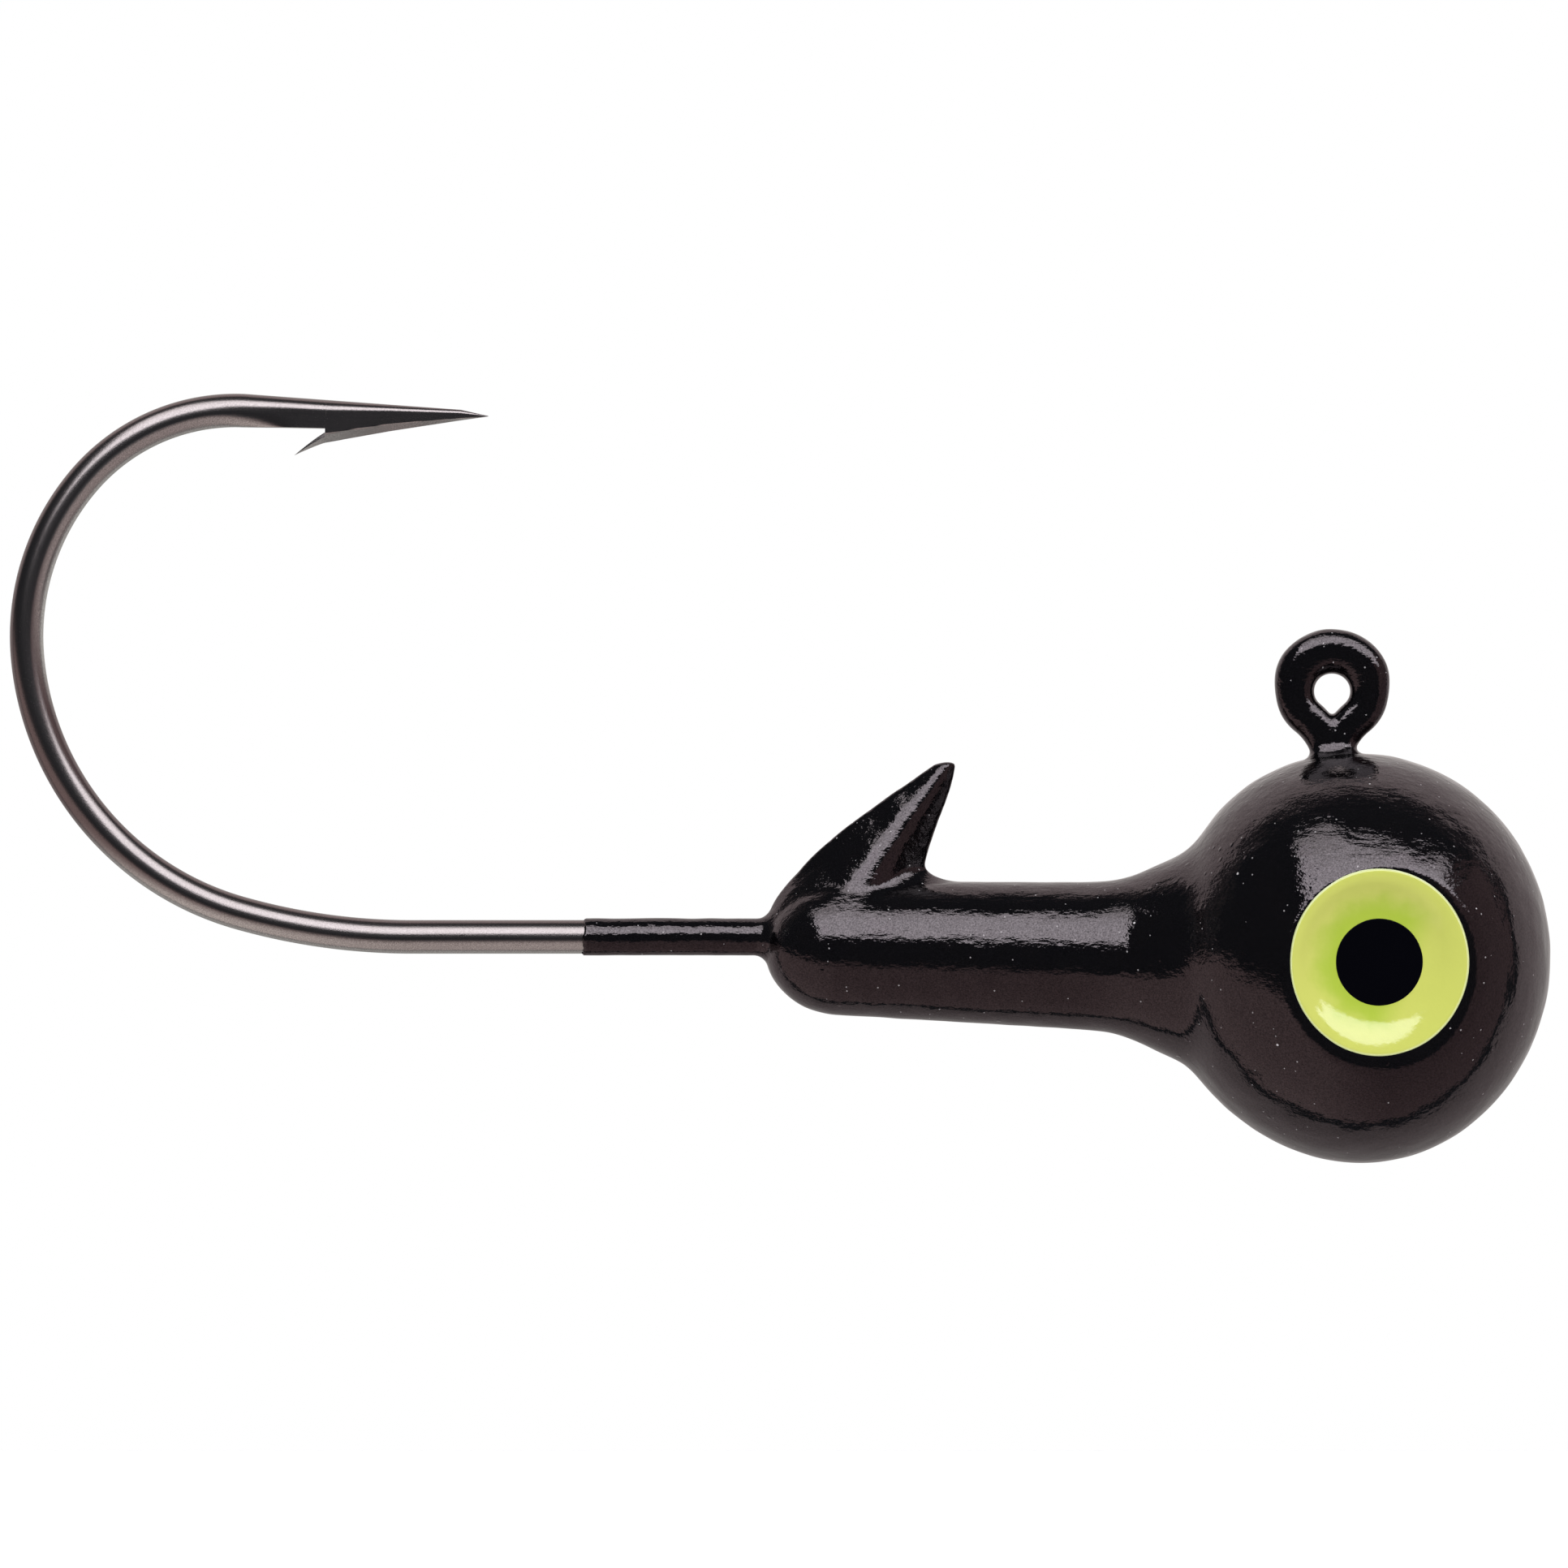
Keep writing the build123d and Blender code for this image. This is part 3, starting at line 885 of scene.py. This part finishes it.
def coating_bumps(nodes, place):
    """Ragged fine orange peel, and grains where the powder ran together."""
    streaked = nodes.add("ShaderNodeMapping", {"Vector": place, "Scale": (2.4, 4.5, 5.5)})
    streaks = nodes.noise(streaked.outputs[0], scale=1.0, detail=3.0, roughness=0.6)
    # It is also smoother towards the front of the ball.
    split = nodes.add("ShaderNodeSeparateXYZ", {"Vector": place})
    front = nodes.math("MAXIMUM", nodes.math("SUBTRACT", split.outputs[0], BALL_X), 0.0)
    height = nodes.math("MULTIPLY_ADD", front, -0.6, split.outputs[2])
    strength = nodes.math("MULTIPLY_ADD", nodes.step(height, *ROUGH_SPAN), 0.75, 0.25)
    normal = nodes.bump(streaks, STREAK_HEIGHT * MM, strength)
    fine = nodes.noise(place, scale=7.0)
    normal = nodes.bump(fine, FINE_HEIGHT * MM, normal=normal)
    apart = nodes.add("ShaderNodeVectorMath", {0: place, 1: CROWD_MIDDLE}, operation="DISTANCE")
    crowd = nodes.step(apart.outputs["Value"], *CROWD_SPAN)
    share = nodes.math("MULTIPLY_ADD", crowd, 0.42, 0.03)
    beads = grains(nodes, place, cell=0.30, size=0.085, share=share)
    return nodes.bump(beads, GRAIN_HEIGHT * MM, normal=normal)


def coating_material():
    """Gloss black powder coat: orange peel, fine-grained highlights, and settled dust."""
    material, nodes, shader, place = new_material("gloss_black_coating")
    stipple = nodes.noise(place, scale=26.0, detail=1.0)
    patches = nodes.noise(place, scale=1.3)
    small = specks(nodes, place, cell=0.26, size=0.022, share=0.48)
    large = specks(nodes, place, cell=0.85, size=0.032, share=0.30)
    dust = nodes.math("MAXIMUM", nodes.math("MULTIPLY", small, 0.5), large)
    tone = nodes.mix(patches, COAT_BLACK, COAT_BROWN)
    gloss = nodes.math("MULTIPLY_ADD", patches, 0.03, 0.02)
    nodes.look(
        shader,
        base=nodes.mix(dust, tone, COAT_DUST),
        rough=nodes.math("MULTIPLY_ADD", dust, 0.4, gloss),
        normal=coating_bumps(nodes, place),
    )
    speckle = nodes.math("MULTIPLY_ADD", nodes.math("SUBTRACT", stipple, 0.5), 0.9, 0.5)
    nodes.set(shader.inputs["Specular IOR Level"], speckle)
    nodes.set(shader.inputs["Specular Tint"], COAT_SHINE)
    nodes.set(shader.inputs["IOR"], 1.56)
    return material


def lead_material():
    """Dull cast lead, with mould grain and darker oxide patches."""
    material, nodes, shader, place = new_material("cast_lead")
    patches = nodes.noise(place, scale=0.8, detail=4.0, roughness=0.6)
    grain = nodes.noise(place, scale=14.0, detail=3.0, roughness=0.6)
    nodes.look(
        shader,
        base=nodes.mix(patches, LEAD_DARK, LEAD_PALE),
        rough=nodes.math("MULTIPLY_ADD", grain, 0.25, 0.42),
        normal=nodes.bump(grain, LEAD_GRAIN_HEIGHT * MM),
    )
    nodes.set(shader.inputs["Metallic"], 0.9)
    return material


def wire_material():
    """Black nickel on drawn wire: fine grain and faint lines along the wire."""
    material, nodes, shader, place = new_material("black_nickel_wire")
    uv = nodes.add("ShaderNodeUVMap", uv_map="wire").outputs[0]
    stretched = nodes.add("ShaderNodeMapping", {"Vector": uv, "Scale": (0.5, 30.0, 1.0)})
    lines = nodes.noise(stretched.outputs[0], scale=1.0, detail=3.0, roughness=0.6)
    grain = nodes.noise(place, scale=34.0, roughness=0.6)
    dark = nodes.mix(nodes.noise(place, scale=0.6), WIRE_DARK, WIRE_BROWN)
    # The metal is painted paler where it faces down and into the bend: a painted reflection of the
    # pale table below.
    facing = nodes.add("ShaderNodeNewGeometry").outputs["Normal"]
    toward = nodes.add("ShaderNodeVectorMath", {0: facing, 1: PAINTED_SHEEN_SIDE}, operation="DOT_PRODUCT")
    painted_sheen = nodes.step(toward.outputs["Value"], 0.10, 0.42)
    tone = nodes.mix(painted_sheen, dark, WIRE_PAINTED_SHEEN)
    middled = nodes.math("SUBTRACT", grain, 0.5)
    speckle = nodes.math("MULTIPLY_ADD", middled, 1.2, 0.25, clamp=True)
    rough = nodes.math("MULTIPLY_ADD", grain, 0.16, 0.13)
    lined = nodes.bump(lines, WIRE_LINE_HEIGHT * MM)
    nodes.look(
        shader,
        base=nodes.mix(speckle, tone, WIRE_SPECK),
        rough=nodes.math("MULTIPLY_ADD", lines, 0.05, rough),
        normal=nodes.bump(grain, WIRE_GRAIN_HEIGHT * MM, normal=lined),
    )
    nodes.set(shader.inputs["Metallic"], 1.0)
    return material


def print_material(name, inner, outer, rim):
    """Gloss ink in a dish: its colour runs from the middle outwards, with painted light towards the
    front and bottom, and a thin pale rim.
    """
    material, nodes, shader, place = new_material(name)
    middle = (IRIS_LOW + IRIS_HIGH) / 2 + np.array([PRINT_SHIFT, 0, 0])
    half = (IRIS_HIGH - IRIS_LOW) / 2
    split = nodes.add("ShaderNodeSeparateXYZ", {"Vector": place})
    x, z = (
        nodes.math("DIVIDE", nodes.math("SUBTRACT", split.outputs[i], middle[i]), half[i])
        for i in (0, 2)
    )
    squares = nodes.math("ADD", nodes.math("POWER", x, 2.0), nodes.math("POWER", z, 2.0))
    radius = nodes.math("SQRT", squares)
    cloud = nodes.noise(place, scale=1.6, detail=3.0, roughness=0.55)
    swirl = nodes.math("MULTIPLY_ADD", nodes.math("SUBTRACT", cloud, 0.5), 0.35, radius)
    # The darker ring around the middle fades out at the front and below: painted shade on the rear
    # and upper part of the print, painted light towards the front and bottom.
    painted_light_side = nodes.math("MULTIPLY_ADD", z, -0.35, nodes.math("MULTIPLY", x, 0.9))
    share = nodes.math("MAXIMUM", nodes.step(swirl, 0.52, 0.84), nodes.step(painted_light_side, 0.08, 0.48))
    fine = nodes.noise(place, scale=6.0, detail=3.0)
    nodes.look(
        shader,
        base=nodes.mix(nodes.step(radius, 0.972, 0.992), nodes.mix(share, inner, outer), rim),
        rough=nodes.math("MULTIPLY_ADD", cloud, 0.08, 0.04),
        normal=nodes.bump(fine, INK_HEIGHT * MM),
    )
    nodes.set(shader.inputs["IOR"], 1.6)
    return material


def pupil_material():
    """Black ink, with faint dots of dust."""
    material, nodes, shader, place = new_material("pupil_ink")
    dust = specks(nodes, place, cell=0.5, size=0.02, share=0.18)
    nodes.look(
        shader,
        base=nodes.mix(dust, PUPIL_BLACK, PUPIL_DUST),
        rough=0.25,
        normal=nodes.bump(nodes.noise(place, scale=7.0), PUPIL_HEIGHT * MM),
    )
    nodes.set(shader.inputs["IOR"], 1.08)
    return material


# ---- studio

FLOOR_DROP = 20.0  # below the lowest point, mm
FLOOR_HALF = 400.0
PAPER = (0.93, 0.93, 0.93, 1)
WHITE = (1, 1, 1, 1)
SOFTBOX_LOW = (4.3, 4.4, 4.7, 1)  # glow of the softbox at its near and far edge
SOFTBOX_HIGH = (2.5, 2.5, 2.6, 1)
TABLE_LEFT = (0.62, 0.48, 0.48, 1)  # the table under and in front of the object
TABLE_RIGHT = (0.36, 0.26, 0.27, 1)
BACKDROP = (0.62, 0.53, 0.54, 1)  # the paper beside the object
FAR_BACKDROP = (0.55, 0.51, 0.50, 1)  # and behind it
DARK_ROOM = (0.052, 0.060, 0.070, 1)

# Directions from the object, in degrees: climb upwards and over from the camera, sideways to the
# right, and off-axis away from it. A pair is where something begins and where it is complete.
BOX_BOTTOM = (19.0, 23.0)
BOX_TOP = (82.0, 78.0)
BOX_LEFT = (-32.5, -29.8)
BOX_RIGHT = (52.0, 48.0)
NOTCH_LEFT = (-14.0, 0.0)  # the notch in the softbox's top edge
NOTCH_RIGHT = (32.0, 44.0)
NOTCH_FALL = -12.5
NOTCH_RISE = 10.0
BOX_DIMMING = (45.0, 80.0)
DARK_BOTTOM = (-32.0, -24.0)
DARK_BACK = (107.0, 101.0)
DARK_RIGHT = 31.0  # the dark room's right edge, and its softness
DARK_RIGHT_SOFT = 3.0
DARK_WIDER = 22.0  # it is wider by this in the upper part
DARK_WIDER_CLIMB = (10.0, 30.0)
TABLE_CHANGE = (-25.0, 15.0)
BACKDROP_EDGE = (106.0, 111.0)
BACKDROP_CHANGE = (125.0, 160.0)
BACKDROP_RISE = 0.34  # how much brighter it is high up, and darker low down
GAP_START = (103.0, 106.0)  # the thin dark gap between table and backdrop
GAP_END = (112.0, 109.0)


def make_floor():
    """A plain pale floor well below the object, clear when seen from below."""
    low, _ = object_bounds()
    z = low[2] - FLOOR_DROP * MM
    half = FLOOR_HALF * MM
    mesh = bpy.data.meshes.new("floor")
    corners = [(-half, -half, z), (half, -half, z), (half, half, z), (-half, half, z)]
    mesh.from_pydata(corners, [], [(0, 1, 2, 3)])
    floor = add_object("floor", mesh)
    material, nodes, shader, _ = new_material("pale_paper")
    nodes.set(shader.inputs["Base Color"], PAPER)
    nodes.set(shader.inputs["Roughness"], 0.9)
    below = nodes.add("ShaderNodeNewGeometry").outputs["Backfacing"]
    clear = nodes.add("ShaderNodeBsdfTransparent").outputs[0]
    either = nodes.add("ShaderNodeMixShader", {0: below, 1: shader.outputs[0], 2: clear})
    nodes.set(nodes.tree.nodes["Material Output"].inputs["Surface"], either.outputs[0])
    mesh.materials.append(material)
    floor.visible_glossy = False


def camera_angles(nodes):
    """Where a ray goes: its three angles, and its parts upwards and towards the camera."""
    ray = nodes.add("ShaderNodeTexCoord").outputs["Generated"]
    turned = nodes.add(
        "ShaderNodeVectorTransform", {0: ray},
        vector_type="VECTOR", convert_from="WORLD", convert_to="CAMERA",
    )
    unit = nodes.add("ShaderNodeVectorMath", {0: turned.outputs[0]}, operation="NORMALIZE")
    split = nodes.add("ShaderNodeSeparateXYZ", {"Vector": unit.outputs[0]})
    right, up = split.outputs[0], split.outputs[1]
    # In this space +Z points away from the camera.
    towards = nodes.math("MULTIPLY", split.outputs[2], -1.0)
    to_degrees = 180 / math.pi
    climb = nodes.math("MULTIPLY", nodes.math("ARCTAN2", up, towards), to_degrees)
    sideways = nodes.math("MULTIPLY", nodes.math("ARCSINE", right), to_degrees)
    off_axis = nodes.math("MULTIPLY", nodes.math("ARCCOSINE", towards), to_degrees)
    return climb, sideways, off_axis, up, towards


def softbox(nodes, climb, sideways):
    """A mask of the wide softbox above the camera, with a notch in its far edge."""
    notch = nodes.math("MULTIPLY", nodes.step(sideways, *NOTCH_LEFT), NOTCH_FALL)
    notch = nodes.math("MULTIPLY_ADD", nodes.step(sideways, *NOTCH_RIGHT), NOTCH_RISE, notch)
    height = nodes.math("SUBTRACT", climb, notch)
    tall = nodes.math("MULTIPLY", nodes.step(climb, *BOX_BOTTOM), nodes.step(height, *BOX_TOP))
    wide = nodes.math("MULTIPLY", nodes.step(sideways, *BOX_LEFT), nodes.step(sideways, *BOX_RIGHT))
    return nodes.math("MULTIPLY", tall, wide)


def dark_room(nodes, climb, sideways, off_axis):
    """A mask of the dark: from the table's edge, past the camera, to behind the softbox, and the
    thin gap where the table ends."""
    over = nodes.step(climb, *DARK_WIDER_CLIMB)
    edge = nodes.math("MULTIPLY_ADD", over, DARK_WIDER, DARK_RIGHT)
    beyond = nodes.math("SUBTRACT", sideways, edge)
    dark = nodes.math("MULTIPLY", nodes.step(climb, *DARK_BOTTOM), nodes.step(off_axis, *DARK_BACK))
    dark = nodes.math("MULTIPLY", dark, nodes.step(beyond, DARK_RIGHT_SOFT, -DARK_RIGHT_SOFT))
    gap = nodes.math("MULTIPLY", nodes.step(off_axis, *GAP_START), nodes.step(off_axis, *GAP_END))
    return nodes.math("MAXIMUM", dark, gap)


def surroundings(nodes, sideways, off_axis, up, towards):
    """The colour of the table, and of the backdrop behind it, which is darkest low down."""
    across = nodes.math("SQRT", nodes.math("SUBTRACT", 1.0, nodes.math("POWER", towards, 2.0)))
    tilt = nodes.math("DIVIDE", up, nodes.math("MAXIMUM", across, 0.001))
    table = nodes.mix(nodes.step(sideways, *TABLE_CHANGE), TABLE_LEFT, TABLE_RIGHT)
    backdrop = nodes.mix(nodes.step(off_axis, *BACKDROP_CHANGE), BACKDROP, FAR_BACKDROP)
    level = nodes.math("MULTIPLY_ADD", tilt, BACKDROP_RISE, 1.0)
    lit = nodes.add("ShaderNodeVectorMath", {0: backdrop, "Scale": level}, operation="SCALE")
    return nodes.mix(nodes.step(off_axis, *BACKDROP_EDGE), table, lit.outputs[0])


def make_studio():
    """Soft studio light that keeps its place around the camera: a dark room behind the camera, a
    wide softbox above it, and pale paper below and behind the object."""
    world = bpy.data.worlds.new("studio")
    bpy.context.scene.world = world
    world.use_nodes = True
    world.node_tree.nodes.clear()
    nodes = Nodes(world.node_tree)
    climb, sideways, off_axis, up, towards = camera_angles(nodes)
    colour = surroundings(nodes, sideways, off_axis, up, towards)
    colour = nodes.mix(dark_room(nodes, climb, sideways, off_axis), colour, DARK_ROOM)
    glow = nodes.mix(nodes.step(climb, *BOX_DIMMING), SOFTBOX_LOW, SOFTBOX_HIGH)
    colour = nodes.mix(softbox(nodes, climb, sideways), colour, glow)
    seen = nodes.add("ShaderNodeLightPath").outputs["Is Camera Ray"]
    colour = nodes.mix(seen, colour, WHITE)
    background = nodes.add("ShaderNodeBackground", {"Color": colour})
    nodes.add("ShaderNodeOutputWorld", {"Surface": background.outputs[0]})


VIEW_SPAN = 1.0174  # width of the view over the object's length
VIEW_SHIFT = (0.0023, -0.0041)  # its centre from the object's, over its width
LENS = 480.0
SENSOR = 36.0
CLIP = (0.05, 20.0)  # over the camera's distance


def make_camera():
    """The camera: level, square to the side of the head, from far enough to look flat."""
    low, high = np.array(CAD_BOX)
    centre = (low + high) / 2
    width = (high[0] - low[0]) * VIEW_SPAN
    data = bpy.data.cameras.new("camera")
    data.lens = LENS
    data.sensor_width = SENSOR
    distance = width * LENS / SENSOR
    data.clip_start = distance * CLIP[0]
    data.clip_end = distance * CLIP[1]
    camera = add_object("camera", data)
    camera.location = (
        centre[0] + VIEW_SHIFT[0] * width,
        -distance,
        centre[2] + VIEW_SHIFT[1] * width,
    )
    camera.rotation_euler = (math.pi / 2, 0, 0)
    bpy.context.scene.camera = camera


# ---- assembly

make_coat(coating_material())
make_lead(lead_material())
make_hook(wire_material())
make_eyes(
    print_material("eye_base_ink", *BASE_INK),
    print_material("iris_ink", *IRIS_INK),
    pupil_material(),
)
make_floor()
make_studio()
make_camera()
bpy.context.scene.view_settings.view_transform = "Standard"
